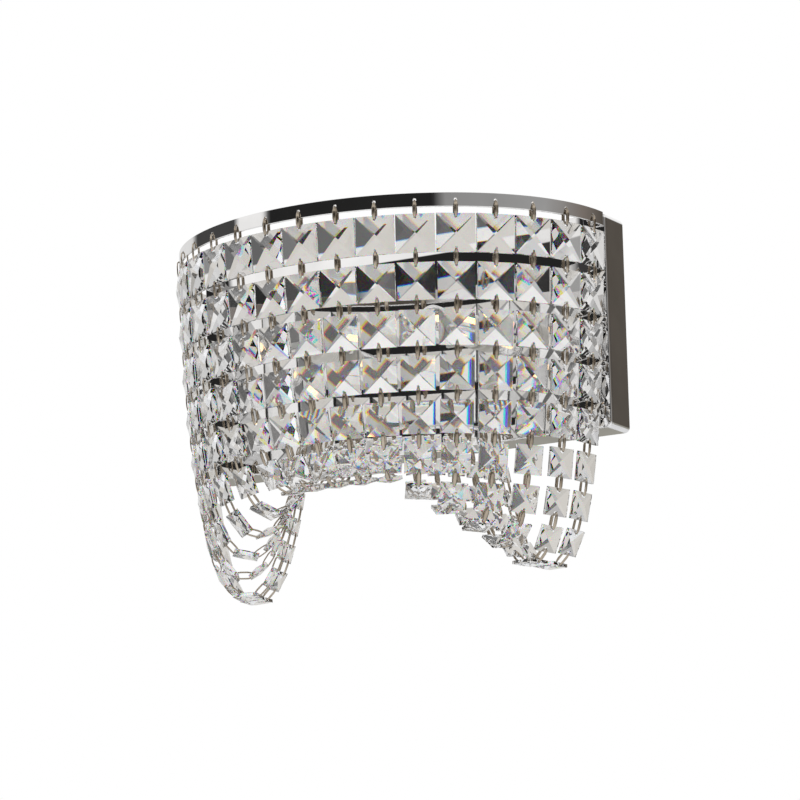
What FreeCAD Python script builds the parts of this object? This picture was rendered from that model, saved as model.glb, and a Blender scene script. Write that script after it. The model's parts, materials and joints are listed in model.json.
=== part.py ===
import FreeCAD, Part
import Sketcher
import math
import os

# Crystal wall sconce. X runs along the wall, Y goes into the wall, Z is up.
# The origin is on the wall plane, at the middle of the wall bracket.

doc = FreeCAD.newDocument("crystal_wall_sconce")
sheet = doc.addObject("Spreadsheet::Sheet", "dims")

DIMENSIONS = [
    # name, value in millimetres (shares and counts bare) or a formula, what it is
    ("box_height", 121.5, "back box, bottom to top"),
    ("box_depth", 22.0, "back box, wall to front plate"),
    ("box_wall", 1.2, "sheet of the back box"),
    ("box_corner", 3.0, "outer corner radius of the back box"),
    ("box_bevel", 0.7, "bevel round the front plate"),
    ("bracket_width", 90.0, "wall bracket, side to side"),
    ("bracket_gap", 0.3, "wall bracket to the walls of the box"),
    ("bracket_sheet", 1.5, "steel of the wall bracket"),
    ("bracket_ear", 12.0, "depth of the two bent ears"),
    ("slot_spacing", 60.0, "wall screw slots, centre to centre"),
    ("slot_length", 12.0, "wall screw slot, end to end"),
    ("slot_radius", 2.3, "half the width of a slot"),
    ("inlet_radius", 8.0, "hole in the bracket for the mains leads"),
    ("inlet_drop", 30.0, "that hole below the middle of the bracket"),
    ("band_half_width", 130.6, "curtain band, middle to outside of its end"),
    ("box_margin", 0.4, "back box past the end of the band"),
    ("box_width", "=2 * (band_half_width + box_margin)", "chrome back box, side to side"),
    ("band_projection", 112.3, "curtain band, in front of the box"),
    ("band_height", 8.0, "curtain band, height of the strip"),
    ("band_sheet", 1.2, "curtain band, thickness of the strip"),
    ("tab_length", 11.0, "fixing tab at each end of the band"),
    ("rail_half_width", 62.0, "inner rail, middle to the rod's axis"),
    ("rail_projection", 50.0, "inner rail, in front of the box"),
    ("rail_rise", 4.75, "inner rail above the bottom of the box"),
    ("rail_radius", 1.15, "half the thickness of the inner rod"),
    ("rail_end_gap", 6.0, "box to the last loop, along the inner rod"),
    ("strand_count", 17, "crystal strands round the band"),
    ("end_gap", 12.0, "box to the first hole, along the band"),
    ("strand_gap", 0.7, "between two strands at the top row"),
    ("curtain_rows", 5, "large crystals in each strand"),
    ("row_step", 0.85, "loss of size from one row to the next"),
    ("swag_step", 1.8, "loss of size from the curtain to the swag"),
    ("swag_gap_side", 0.6, "between two strands at the inner rod"),
    ("swing_room", 1.6, "between two strands in the swag, so that one can swing"),
    ("swag_short", 4, "small crystals in the middle strands"),
    ("swag_long", 9, "small crystals in the end strands"),
    ("swag_level", 2, "strands each side of the middle that stay short"),
    ("crystal_gap", 5.3, "between two crystals of the curtain"),
    ("swag_gap", 5.5, "between two crystals of the swag"),
    ("hole_inset", 2.2, "crystal edge to the centre of its hole"),
    ("girdle", 1.8, "thickness of a crystal at its edge"),
    ("crown_share", 0.12, "height of the four facets over the crystal's width"),
    ("wire", 0.9, "wire of the loops"),
    ("loop_width", 4.6, "loop, outside, across the crystal"),
    ("small_loop_width", 3.6, "loop of the swag, outside"),
    ("loop_clearance", 0.25, "loop wire to the wall of its hole"),
    ("lamp_offset", 46.0, "middle of the sconce to each lamp"),
    ("lamp_height", 4.0, "lamps above the middle of the box"),
    ("holder_radius", 9.5, "ceramic lampholder"),
    ("holder_length", 19.0, "ceramic lampholder, front to back"),
    ("socket_width", 10.4, "slot of the lampholder for the lamp's pinch"),
    ("socket_height", 4.2, "slot of the lampholder, up and down"),
    ("socket_depth", 8.0, "slot of the lampholder, depth"),
    ("socket_clearance", 0.3, "lamp to the walls of its slot"),
    ("saddle_width", 34.0, "steel saddle under the lampholder"),
    ("saddle_height", 14.0, "steel saddle, up and down"),
    ("saddle_sheet", 1.2, "steel of the saddle"),
    ("bulb_radius", 6.6, "glass of the capsule lamp"),
    ("bulb_length", 32.0, "glass of the capsule lamp"),
    ("bulb_tip", 2.5, "sealed pip at the end of the capsule lamp"),
    ("screw_radius", 1.5, "shank of the small screws"),
    ("screw_head_radius", 3.0, "head of the small screws"),
    ("screw_head_height", 1.8, "head of the small screws"),
    ("screw_clearance", 0.2, "screw shank to its hole"),
    ("screw_grip", 3.0, "screw length past the parts it holds"),
    ("block_width", 30.0, "terminal block"),
    ("block_depth", 11.0, "terminal block, front to back"),
    ("block_height", 14.0, "terminal block, up and down"),
    ("block_drop", 24.0, "terminal block below the middle of the box"),
    ("lead_radius", 1.4, "insulated lead"),
    ("lead_bend", 6.0, "bend radius of a lead"),
]
for row, (name, value, note) in enumerate(DIMENSIONS, start=1):
    sheet.set("A%d" % row, name)
    sheet.set("B%d" % row, str(value))
    sheet.set("C%d" % row, note)
    sheet.setAlias("B%d" % row, name)
doc.recompute()

X_AXIS = FreeCAD.Vector(1, 0, 0)
Y_AXIS = FreeCAD.Vector(0, 1, 0)
Z_AXIS = FreeCAD.Vector(0, 0, 1)


def size(name):
    return float(getattr(sheet, name))


def bind(item, **sizes):
    for prop, formula in sizes.items():
        item.setExpression(prop, formula)
    return item


def place(item, x="0", y="0", z="0", turn=0.0):
    """Put an item at a formula's place, turned about the X axis."""
    item.Placement = FreeCAD.Placement(FreeCAD.Vector(), FreeCAD.Rotation(X_AXIS, turn))
    item.setExpression("Placement.Base.x", x)
    item.setExpression("Placement.Base.y", y)
    item.setExpression("Placement.Base.z", z)
    return item


def block(name, length, width, height, x="0", y="0", z="0"):
    """A box with its middle at x, its back face at y and its middle height at z."""
    item = bind(doc.addObject("Part::Box", name), Length=length, Width=width, Height=height)
    return place(item, "%s - (%s) / 2" % (x, length), "%s - (%s)" % (y, width),
                 "%s - (%s) / 2" % (z, height))


def prism(name, sides, radius, height, x, y, z, turn):
    item = doc.addObject("Part::Prism", name)
    item.Polygon = sides
    bind(item, Circumradius=radius, Height=height)
    return place(item, x, y, z, turn)


def cylinder(name, radius, height, x, y, z, turn):
    item = bind(doc.addObject("Part::Cylinder", name), Radius=radius, Height=height)
    return place(item, x, y, z, turn)


def fused(name, items):
    item = doc.addObject("Part::MultiFuse", name)
    item.Shapes = items
    return item


def cut(name, base, tool):
    item = doc.addObject("Part::Cut", name)
    item.Base = base
    item.Tool = tool
    return item


parts = []


def keep(item, label):
    item.Label = label
    parts.append(item)
    return item


# Sketch helpers for the pressed and moulded pieces.

def origin_plane(body, role):
    return [feature for feature in body.Origin.OriginFeatures if feature.Role == role][0]


def new_sketch(body, name, role, offset=None):
    sketch = body.newObject("Sketcher::SketchObject", name)
    sketch.AttachmentSupport = (origin_plane(body, role), [""])
    sketch.MapMode = "FlatFace"
    if offset:
        sketch.setExpression("AttachmentOffset.Base.z", offset)
    return sketch


def named_distance(sketch, kind, name, formula, *ends):
    index = sketch.addConstraint(Sketcher.Constraint(kind, *ends, 10.0))
    sketch.renameConstraint(index, name)
    sketch.setExpression("Constraints." + name, formula)


def rectangle(sketch, width, height, x=None, y=None):
    """A rectangle centred on the origin, or on x and y where they are given."""
    first = sketch.GeometryCount
    corners = [(-10, -5), (10, -5), (10, 5), (-10, 5)]
    points = [FreeCAD.Vector(a, b, 0) for a, b in corners]
    for index in range(4):
        sketch.addGeometry(Part.LineSegment(points[index], points[(index + 1) % 4]))
    for index in range(4):
        sketch.addConstraint(Sketcher.Constraint(
            "Coincident", first + index, 2, first + (index + 1) % 4, 1))
    for index, kind in enumerate(("Horizontal", "Vertical", "Horizontal", "Vertical")):
        sketch.addConstraint(Sketcher.Constraint(kind, first + index))
    tag = "r%d" % first
    named_distance(sketch, "DistanceX", tag + "_width", width, first, 1, first, 2)
    named_distance(sketch, "DistanceY", tag + "_height", height, first + 1, 1, first + 1, 2)
    if x is None:
        sketch.addConstraint(Sketcher.Constraint("Symmetric", first, 1, first + 1, 2, -1, 1))
        return
    left = "%s - (%s) / 2" % (x, width)
    low = "%s - (%s) / 2" % (y, height)
    named_distance(sketch, "DistanceX", tag + "_left", left, -1, 1, first, 1)
    named_distance(sketch, "DistanceY", tag + "_low", low, -1, 1, first, 1)


def pad(body, name, sketch, length, reverse=False):
    feature = bind(body.newObject("PartDesign::Pad", name))
    feature.Profile = sketch
    feature.Reversed = reverse
    return bind(feature, Length=length)


def pocket(body, name, sketch, length, reverse=False):
    feature = body.newObject("PartDesign::Pocket", name)
    feature.Profile = sketch
    feature.Reversed = reverse
    return bind(feature, Length=length)


def edges_where(shape, test):
    return ["Edge%d" % (index + 1) for index, edge in enumerate(shape.Edges) if test(edge)]


def runs_along(edge, axis):
    if len(edge.Vertexes) < 2:
        return False
    way = edge.Vertexes[1].Point.sub(edge.Vertexes[0].Point)
    return abs(way.dot(axis)) > 0.999 * way.Length and edge.Curve.TypeId == "Part::GeomLine"


# Back box: a shallow chromed tray, open towards the wall. Its front plate carries everything.

box_half = "dims.box_height / 2"
box = doc.addObject("PartDesign::Body", "box_body")
outline = new_sketch(box, "box_outline", "XZ_Plane")
rectangle(outline, "dims.box_width", "dims.box_height")
tray = pad(box, "box_tray", outline, "dims.box_depth")
doc.recompute()
corner = box.newObject("PartDesign::Fillet", "box_corners")
corner.Base = (tray, edges_where(tray.Shape, lambda edge: runs_along(edge, Y_AXIS)))
bind(corner, Radius="dims.box_corner")
doc.recompute()
front = -size("box_depth")
bevel = box.newObject("PartDesign::Chamfer", "box_front_bevel")
bevel.Base = (corner, edges_where(
    corner.Shape, lambda edge: all(abs(v.Y - front) < 1e-6 for v in edge.Vertexes)))
bind(bevel, Size="dims.box_bevel")
hollow_outline = new_sketch(box, "box_hollow_outline", "XZ_Plane")
rectangle(hollow_outline, "dims.box_width - 2 * dims.box_wall",
          "dims.box_height - 2 * dims.box_wall")
pocket(box, "box_hollow", hollow_outline, "dims.box_depth - dims.box_wall", True)


# Screws, their holes and the rods are six-sided, because there are many of them.

SIDES = 6
TO_WALL = -90.0
FROM_WALL = 90.0

hole_radius = "dims.screw_radius + dims.screw_clearance"
plate_back = "-dims.box_depth"
tab_x = "(dims.band_half_width - dims.band_sheet - dims.tab_length / 2)"
band_z = "(%s - dims.band_height / 2)" % box_half
saddle_reach = "(dims.saddle_width / 2 - 2 * dims.screw_head_radius / 2 - 1)"
band_screw_places = [("-" + tab_x, band_z), (tab_x, band_z)]
saddle_screw_places = [
    ("(%s dims.lamp_offset %s %s)" % (side, way, saddle_reach), "dims.lamp_height")
    for side in ("-", "") for way in ("-", "+")]
rail_z = "(dims.rail_rise - %s)" % box_half
box_holes = []
for number, (x, z) in enumerate(band_screw_places + saddle_screw_places):
    box_holes.append(prism("plate_hole_%d" % number, SIDES, hole_radius,
                           "3 * dims.box_wall", x, plate_back + " - dims.box_wall", z, TO_WALL))
for number, side in enumerate(("-", "")):
    box_holes.append(prism("rail_hole_%d" % number, SIDES,
                           "dims.rail_radius + dims.screw_clearance", "3 * dims.box_wall",
                           side + "dims.rail_half_width", plate_back + " - dims.box_wall",
                           rail_z, TO_WALL))
    box_holes.append(prism("lead_hole_%d" % number, SIDES,
                           "dims.lead_radius + 2 * dims.screw_clearance", "3 * dims.box_wall",
                           side + "dims.lamp_offset", plate_back + " - dims.box_wall",
                           "dims.lamp_height", TO_WALL))
for number, (z, turn) in enumerate(((box_half, 180.0), ("-" + box_half, 0.0))):
    shift = "+ dims.box_wall" if turn else "- dims.box_wall"
    box_holes.append(prism("ear_hole_%d" % number, SIDES, hole_radius,
                           "3 * dims.box_wall", "0", "-dims.bracket_ear / 2",
                           "%s %s" % (z, shift), turn))
keep(cut("drilled_box", box, fused("box_hole_tools", box_holes)), "back_box")


# Wall bracket: a pressed steel plate with an ear bent forward at its top and bottom.

bracket = doc.addObject("PartDesign::Body", "bracket_body")
bracket_height = "(dims.box_height - 2 * dims.box_wall - 2 * dims.bracket_gap)"
plate_outline = new_sketch(bracket, "bracket_plate_outline", "XZ_Plane")
rectangle(plate_outline, "dims.bracket_width", bracket_height)
plate = pad(bracket, "bracket_plate", plate_outline, "dims.bracket_sheet")
ear_outline = new_sketch(bracket, "bracket_ear_outline", "XZ_Plane")
ear_middle = "((%s - dims.bracket_sheet) / 2)" % bracket_height
rectangle(ear_outline, "dims.bracket_width / 3", "dims.bracket_sheet", "0", ear_middle)
rectangle(ear_outline, "dims.bracket_width / 3", "dims.bracket_sheet", "0", "-" + ear_middle)
pad(bracket, "bracket_ears", ear_outline, "dims.bracket_ear")
earth_x = "(dims.inlet_radius + 2 * dims.screw_head_radius)"
bracket_tools = []
for number, side in enumerate(("-", "")):
    middle = side + "dims.slot_spacing / 2"
    bracket_tools.append(block("slot_middle_%d" % number,
                               "dims.slot_length - 2 * dims.slot_radius",
                               "3 * dims.bracket_sheet", "2 * dims.slot_radius",
                               middle, "dims.bracket_sheet", "0"))
    for end in ("-", "+"):
        bracket_tools.append(cylinder(
            "slot_end_%d%s" % (number, "ab"[end == "+"]), "dims.slot_radius",
            "3 * dims.bracket_sheet",
            "%s %s (dims.slot_length / 2 - dims.slot_radius)" % (middle, end),
            "dims.bracket_sheet", "0", FROM_WALL))
bracket_tools.append(prism("inlet_hole", 2 * SIDES, "dims.inlet_radius",
                           "3 * dims.bracket_sheet", "0", "dims.bracket_sheet",
                           "-dims.inlet_drop", FROM_WALL))
bracket_tools.append(prism("earth_hole", SIDES, hole_radius, "3 * dims.bracket_sheet",
                           earth_x, "dims.bracket_sheet", "-dims.inlet_drop", FROM_WALL))
ear_z = "(%s / 2)" % bracket_height
for number, (z, turn) in enumerate(((ear_z, 180.0), ("-" + ear_z, 0.0))):
    shift = "+ dims.bracket_sheet" if turn else "- dims.bracket_sheet"
    bracket_tools.append(prism("ear_thread_%d" % number, SIDES, hole_radius,
                               "3 * dims.bracket_sheet", "0", "-dims.bracket_ear / 2",
                               "%s %s" % (z, shift), turn))
keep(cut("pierced_bracket", bracket, fused("bracket_tools", bracket_tools)), "wall_bracket")


def screws(label, places, shank):
    """Screws in one node: each a six-sided head and a shank that goes the other way."""
    made = []
    for number, (x, y, z, turn) in enumerate(places):
        name = "%s_%d" % (label, number)
        head = prism(name + "_head", SIDES, "dims.screw_head_radius",
                     "dims.screw_head_height", x, y, z, turn)
        stem = prism(name + "_shank", SIDES, "dims.screw_radius",
                     shank, x, y, z, turn + 180.0)
        made.append(fused(name, [head, stem]))
    group = doc.addObject("Part::Compound", label + "_group")
    group.Links = made
    keep(group, label)


ear_screw_y = "-dims.bracket_ear / 2"
screws("box_screws", [("0", ear_screw_y, box_half, 0.0), ("0", ear_screw_y, "-" + box_half, 180.0)],
       "dims.box_wall + dims.bracket_sheet + dims.screw_grip")
band_face = "-dims.box_depth - dims.band_sheet"
screws("band_screws", [(x, band_face, z, FROM_WALL) for x, z in band_screw_places],
       "dims.band_sheet + dims.box_wall + dims.screw_grip")
saddle_face = "-dims.box_depth - dims.saddle_sheet"
screws("saddle_screws", [(x, saddle_face, z, FROM_WALL) for x, z in saddle_screw_places],
       "dims.saddle_sheet + dims.box_wall + dims.screw_grip")


# Band and rail follow half an ellipse that meets the front plate square.

def half_ellipse(half_width, projection, z):
    """The curve from the right end, round the front, to the left end."""
    middle = FreeCAD.Vector(0, -size("box_depth"), z)
    if half_width >= projection:
        curve = Part.Ellipse(middle + FreeCAD.Vector(half_width, 0, 0),
                             middle + FreeCAD.Vector(0, -projection, 0), middle)
        return Part.Arc(curve, 0.0, math.pi).toShape()
    curve = Part.Ellipse(middle + FreeCAD.Vector(0, -projection, 0),
                         middle + FreeCAD.Vector(-half_width, 0, 0), middle)
    return Part.Arc(curve, -math.pi / 2, math.pi / 2).toShape()


def stations(curve, end_gap):
    """Evenly spaced places along a curve, each with its tangent."""
    count = int(size("strand_count"))
    pitch = (curve.Length - 2 * end_gap) / (count - 1)
    found = []
    for number in range(count):
        where = curve.getParameterByLength(end_gap + number * pitch)
        found.append((curve.valueAt(where), curve.tangentAt(where).normalize()))
    return pitch, found


def strip_between(outer, inner, height):
    """An upright strip between two half ellipses that share their ends' plane."""
    sides = [Part.makeLine(outer.Vertexes[end].Point, inner.Vertexes[end].Point)
             for end in (0, 1)]
    wire = Part.Wire(Part.__sortEdges__([outer, sides[0], inner, sides[1]]))
    return Part.Face(wire).extrude(Z_AXIS * height)


def wedge_hole(middle, along, up, depth):
    """A three-sided hole for a loop's wire, its point towards the way that up gives."""
    gap = size("loop_clearance")
    wire = size("wire")
    base = wire / 2 + gap
    slant = math.hypot(1.0, 2.0)
    point = wire / 2 + slant * gap
    half = (base + point) / 2
    across = along.cross(up)
    corners = [middle + up * point, middle - up * base + across * half,
               middle - up * base - across * half]
    start = [corner - along * depth for corner in corners]
    return Part.Face(Part.makePolygon(start + start[:1])).extrude(along * 2 * depth)


band_top = size("box_height") / 2
band_low = band_top - size("band_height")
hole_height = band_top - size("band_height") / 2
sheet_half = size("band_sheet") / 2
band_line = half_ellipse(size("band_half_width") - sheet_half,
                         size("band_projection") - sheet_half, hole_height)
band_pitch, band_stations = stations(band_line, size("end_gap"))

# Curtain band: a polished strip on edge, with a hole for each strand and a tab at each end.
band = strip_between(
    half_ellipse(size("band_half_width"), size("band_projection"), band_low),
    half_ellipse(size("band_half_width") - size("band_sheet"),
                 size("band_projection") - size("band_sheet"), band_low),
    size("band_height"))
tab_inner = size("band_half_width") - size("band_sheet") - size("tab_length")
tab_hole = Part.makeCylinder(1, 1)
for side in (-1, 1):
    start = tab_inner if side > 0 else -tab_inner - size("tab_length") - sheet_half
    tab = Part.makeBox(size("tab_length") + sheet_half, size("band_sheet"),
                       size("band_height"),
                       FreeCAD.Vector(start, -size("box_depth") - size("band_sheet"), band_low))
    middle = FreeCAD.Vector(side * (tab_inner + size("tab_length") / 2),
                            -size("box_depth") + 1, hole_height)
    ring = Part.makePolygon([
        middle + FreeCAD.Vector(math.cos(math.tau * step / SIDES), 0,
                                math.sin(math.tau * step / SIDES))
        * (size("screw_radius") + size("screw_clearance"))
        for step in list(range(SIDES)) + [0]])
    tab = tab.cut(Part.Face(ring).extrude(FreeCAD.Vector(0, -2 * size("box_depth"), 0)))
    band = band.fuse(tab)
band_holes = [wedge_hole(point, tangent.cross(Z_AXIS), -Z_AXIS, 2 * size("band_sheet"))
              for point, tangent in band_stations]
band = band.removeSplitter().cut(Part.makeCompound(band_holes))
band_item = doc.addObject("Part::Feature", "band_strip")
band_item.Shape = band.Solids[0]
keep(band_item, "curtain_band")


def polyhedron(faces):
    shell = Part.makeShell([Part.Face(Part.makePolygon(list(face) + [face[0]]))
                            for face in faces])
    solid = Part.makeSolid(shell)
    if solid.Volume < 0:
        solid.reverse()
    return solid


def rod_along(points, radius):
    """A six-sided rod along a line of points, mitred at each of them."""
    came = (points[1] - points[0]).normalize()
    side = came.cross(Z_AXIS if abs(came.z) < 0.9 else X_AXIS).normalize()
    up = side.cross(came)
    ring = [points[0] + (side * math.cos(math.tau * step / SIDES)
                         + up * math.sin(math.tau * step / SIDES)) * radius
            for step in range(SIDES)]
    faces = [ring]
    for here, after in zip(points[1:], points[2:] + [None]):
        goes = (after - here).normalize() if after else came
        mitre = came + goes
        moved = [spot + came * ((here - spot).dot(mitre) / came.dot(mitre)) for spot in ring]
        faces += [[ring[one], ring[(one + 1) % SIDES], moved[(one + 1) % SIDES], moved[one]]
                  for one in range(SIDES)]
        ring = moved
        came = goes
    return polyhedron(faces + [ring])


# Inner rail: a rod bent to a smaller half ellipse, its ends nutted behind the front plate.
rail_height = size("rail_rise") - size("box_height") / 2
rail_line = half_ellipse(size("rail_half_width"), size("rail_projection"), rail_height)
rail_pitch, rail_stations = stations(rail_line, size("rail_end_gap"))
stub = Y_AXIS * (size("box_wall") + size("screw_grip"))
rail_ends = [vertex.Point for vertex in rail_line.Vertexes]
rail_points = [rail_ends[0] + stub, rail_ends[0]]
rail_points += [point for point, tangent in rail_stations]
rail_points += [rail_ends[1], rail_ends[1] + stub]
rail_item = doc.addObject("Part::Feature", "rail_rod")
rail_item.Shape = rod_along(rail_points, size("rail_radius"))
keep(rail_item, "inner_rail")
rail_nuts = []
for number, side in enumerate(("-", "")):
    nut_place = (side + "dims.rail_half_width", plate_back + " + dims.box_wall", rail_z)
    nut = prism("rail_nut_%d_blank" % number, SIDES, "2.4 * dims.rail_radius",
                "1.6 * dims.rail_radius", *nut_place, TO_WALL)
    bore = prism("rail_nut_%d_bore" % number, SIDES, "dims.rail_radius + dims.screw_clearance",
                 "1.6 * dims.rail_radius", *nut_place, TO_WALL)
    rail_nuts.append(cut("rail_nut_%d" % number, nut, bore))
nut_group = doc.addObject("Part::Compound", "rail_nut_group")
nut_group.Links = rail_nuts
keep(nut_group, "rail_nuts")


# Lamps: a ceramic holder on a steel saddle, and a clear capsule lamp that pulls out forwards.

LAMP_SIDES = 16
for side, sign in (("left", "-"), ("right", "")):
    x = sign + "dims.lamp_offset"
    saddle_plate = block("saddle_plate_" + side, "dims.saddle_width", "dims.saddle_sheet",
                         "dims.saddle_height", x, plate_back, "dims.lamp_height")
    saddle_tools = [
        prism("saddle_hole_%s_%s" % (side, "ab"[way == "+"]), SIDES, hole_radius,
              "3 * dims.saddle_sheet", "%s %s %s" % (x, way, saddle_reach),
              plate_back + " - 2 * dims.saddle_sheet", "dims.lamp_height", TO_WALL)
        for way in ("-", "+")]
    saddle_tools.append(prism(
        "saddle_lead_" + side, SIDES, "dims.lead_radius + 2 * dims.screw_clearance",
        "3 * dims.saddle_sheet", x, plate_back + " - 2 * dims.saddle_sheet",
        "dims.lamp_height", TO_WALL))
    keep(cut("saddle_%s_body" % side, saddle_plate, fused("saddle_tools_" + side, saddle_tools)),
         "lamp_saddle_" + side)
    ceramic = prism("ceramic_" + side, LAMP_SIDES, "dims.holder_radius", "dims.holder_length",
                    x, saddle_face, "dims.lamp_height", FROM_WALL)
    holder_front = "(%s - dims.holder_length)" % saddle_face
    slot = block("socket_" + side, "dims.socket_width", "2 * dims.socket_depth",
                 "dims.socket_height", x, holder_front + " + dims.socket_depth",
                 "dims.lamp_height")
    keep(cut("holder_%s_body" % side, ceramic, slot), "lampholder_" + side)
    pinch = block("pinch_" + side, "dims.socket_width - 2 * dims.socket_clearance",
                  "dims.socket_depth", "dims.socket_height - 2 * dims.socket_clearance",
                  x, holder_front + " + dims.socket_depth - dims.socket_clearance",
                  "dims.lamp_height")
    glass_y = holder_front + " - dims.socket_clearance"
    glass = prism("glass_" + side, LAMP_SIDES, "dims.bulb_radius", "dims.bulb_length",
                  x, glass_y, "dims.lamp_height", FROM_WALL)
    tip = prism("glass_tip_" + side, LAMP_SIDES, "dims.bulb_radius / 3", "dims.bulb_tip",
                x, glass_y + " - dims.bulb_length", "dims.lamp_height", FROM_WALL)
    keep(fused("bulb_%s_body" % side, [pinch, glass, tip]), "bulb_" + side)


# Terminal block: a moulded body on the back of the front plate, with three clamping screws.

block_y = "(-dims.box_depth + dims.box_wall + dims.block_depth)"
block_z = "-dims.block_drop"
terminal = doc.addObject("PartDesign::Body", "terminal_body")
base_outline = new_sketch(terminal, "terminal_outline", "XZ_Plane",
                          "dims.box_depth - dims.box_wall - dims.block_depth")
rectangle(base_outline, "dims.block_width", "dims.block_height", "0", block_z)
pad(terminal, "terminal_base", base_outline, "dims.block_depth")
groove_outline = new_sketch(terminal, "terminal_grooves", "XZ_Plane",
                            "dims.box_depth - dims.box_wall - dims.block_depth")
for way in ("-", ""):
    rectangle(groove_outline, "dims.block_width / 15", "dims.block_height + 1",
              way + "dims.block_width / 6", block_z)
pocket(terminal, "terminal_groove_cut", groove_outline, "dims.block_depth / 3", True)
keep(terminal, "terminal_block")
clamp_radius = "dims.block_width / 12"
clamps = [prism("clamp_%d" % number, SIDES, clamp_radius, "dims.screw_head_height / 2",
                "%d * dims.block_width / 3" % number, block_y, block_z, TO_WALL)
          for number in (-1, 0, 1)]
clamp_group = doc.addObject("Part::Compound", "clamp_group")
clamp_group.Links = clamps
keep(clamp_group, "terminal_screws")

# Earth screw: through the bracket beside the inlet, with its head towards the room.
screws("earth_screw", [(earth_x, "-dims.bracket_sheet", "-dims.inlet_drop", FROM_WALL)],
       "dims.bracket_sheet / 3")


# Leads: one from the terminal block to each lampholder, bent in wide arcs inside the box.

def rounded(corners, bend, chords=3):
    """A line of points with an arc, in a few chords, at each inner corner."""
    points = [corners[0]]
    for before, here, after in zip(corners, corners[1:], corners[2:]):
        came = (here - before).normalize()
        goes = (after - here).normalize()
        angle = came.getAngle(goes)
        start = here - came * bend * math.tan(angle / 2)
        middle = start + (goes - came * came.dot(goes)).normalize() * bend
        for step in range(chords + 1):
            turn = FreeCAD.Rotation(came.cross(goes), math.degrees(angle) * step / chords)
            points.append(middle + turn.multVec(start - middle))
    return points + [corners[-1]]


lead_y = -size("box_depth") + size("box_wall") + 2 * size("lead_radius") + size("lead_bend")
for side, sign in (("left", -1), ("right", 1)):
    holder_end = FreeCAD.Vector(sign * size("lamp_offset"),
                                -size("box_depth") - size("saddle_sheet"), size("lamp_height"))
    turn_point = FreeCAD.Vector(holder_end.x, lead_y, holder_end.z)
    low_point = FreeCAD.Vector(holder_end.x, lead_y, -size("block_drop"))
    block_end = FreeCAD.Vector(sign * size("block_width") / 2, lead_y, -size("block_drop"))
    route = rounded([holder_end, turn_point, low_point, block_end], size("lead_bend"))
    lead_item = doc.addObject("Part::Feature", "lead_tube_" + side)
    lead_item.Shape = rod_along(route, size("lead_radius"))
    keep(lead_item, "lead_" + side)


# Crystals and loops. A crystal lies in its own frame: X across, Y out of its facets, Z up.

def crystal(width, pierced):
    """A square stone: flat back, thin edge, and four facets that meet in a low point."""
    half = width / 2
    edge = size("girdle") / 2
    turns = [(-1, -1), (1, -1), (1, 1), (-1, 1)]
    back = [FreeCAD.Vector(a * half, -edge, b * half) for a, b in turns]
    front = [FreeCAD.Vector(a * half, edge, b * half) for a, b in turns]
    point = FreeCAD.Vector(0, edge + size("crown_share") * width, 0)
    faces = [back]
    for one in range(4):
        two = (one + 1) % 4
        faces.append([back[one], back[two], front[two], front[one]])
        faces.append([front[one], front[two], point])
    stone = polyhedron(faces)
    if pierced:
        reach = half - size("hole_inset")
        holes = [wedge_hole(Z_AXIS * way * reach, Y_AXIS, Z_AXIS * way, width)
                 for way in (-1, 1)]
        stone = stone.cut(Part.makeCompound(holes)).Solids[0]
    return stone


def loop(length, width):
    """A closed wire loop in the Y-Z plane, its wire three-sided with the point inwards."""
    wire = size("wire")
    turns = [(-1, -1), (1, -1), (1, 1), (-1, 1)]
    inner = [FreeCAD.Vector(0, a * (width / 2 - wire), b * (length / 2 - wire))
             for a, b in turns]
    rings = [inner]
    for way in (-1, 1):
        rings.append([FreeCAD.Vector(way * wire / 2, a * width / 2, b * length / 2)
                      for a, b in turns])
    faces = []
    for one in range(4):
        two = (one + 1) % 4
        for first, second in ((0, 1), (1, 2), (2, 0)):
            faces.append([rings[first][one], rings[first][two],
                          rings[second][two], rings[second][one]])
    return polyhedron(faces)


# How a strand hangs: links and stones are rigid rods, and each stone weighs as its area.

def hanging_chain(rods, across, fall):
    """The joints of rods with weights, hung from (0, 0) to (across, fall)."""
    total = sum(weight for length, weight in rods)

    def walk(pull, lift):
        places = [(0.0, 0.0)]
        for length, weight in rods:
            lift -= weight / 2
            tension = math.hypot(pull, lift)
            x, z = places[-1]
            places.append((x + length * pull / tension, z - length * lift / tension))
            lift -= weight / 2
        return places

    def settle(pull):
        low, high = -30 * total, 30 * total
        for _ in range(50):
            lift = (low + high) / 2
            if walk(pull, lift)[-1][1] > fall:
                low = lift
            else:
                high = lift
        return walk(pull, lift)

    weak, strong = 1e-5 * total, 20 * total
    for _ in range(50):
        pull = math.sqrt(weak * strong)
        if settle(pull)[-1][0] < across:
            weak = pull
        else:
            strong = pull
    return settle(pull)


def stone_sizes(number):
    """The widths of a strand's stones, from the band to the inner rail."""
    rows = int(size("curtain_rows"))
    widths = [band_pitch - size("strand_gap") - size("row_step") * row for row in range(rows)]
    from_middle = abs(number - (int(size("strand_count")) - 1) / 2)
    extra = max(0, math.ceil(from_middle - size("swag_level")))
    count = int(min(size("swag_long"), size("swag_short") + extra))
    first = widths[-1] - size("swag_step")
    last = rail_pitch - size("swag_gap_side")
    widths += [first + (last - first) * stone / (count - 1) for stone in range(count)]
    return widths


def rods_of(widths):
    """The rods of a strand: a loop, then a stone, in turn, and a last loop to the rail."""
    rows = int(size("curtain_rows"))
    inset = size("hole_inset")
    rods = []
    for stone, width in enumerate(widths):
        gap = size("crystal_gap") if stone <= rows else size("swag_gap")
        rods += [(gap + 2 * inset, 0.0), (width - 2 * inset, width ** 2)]
    return rods + [(size("swag_gap") + inset + seat, 0.0)]


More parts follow.
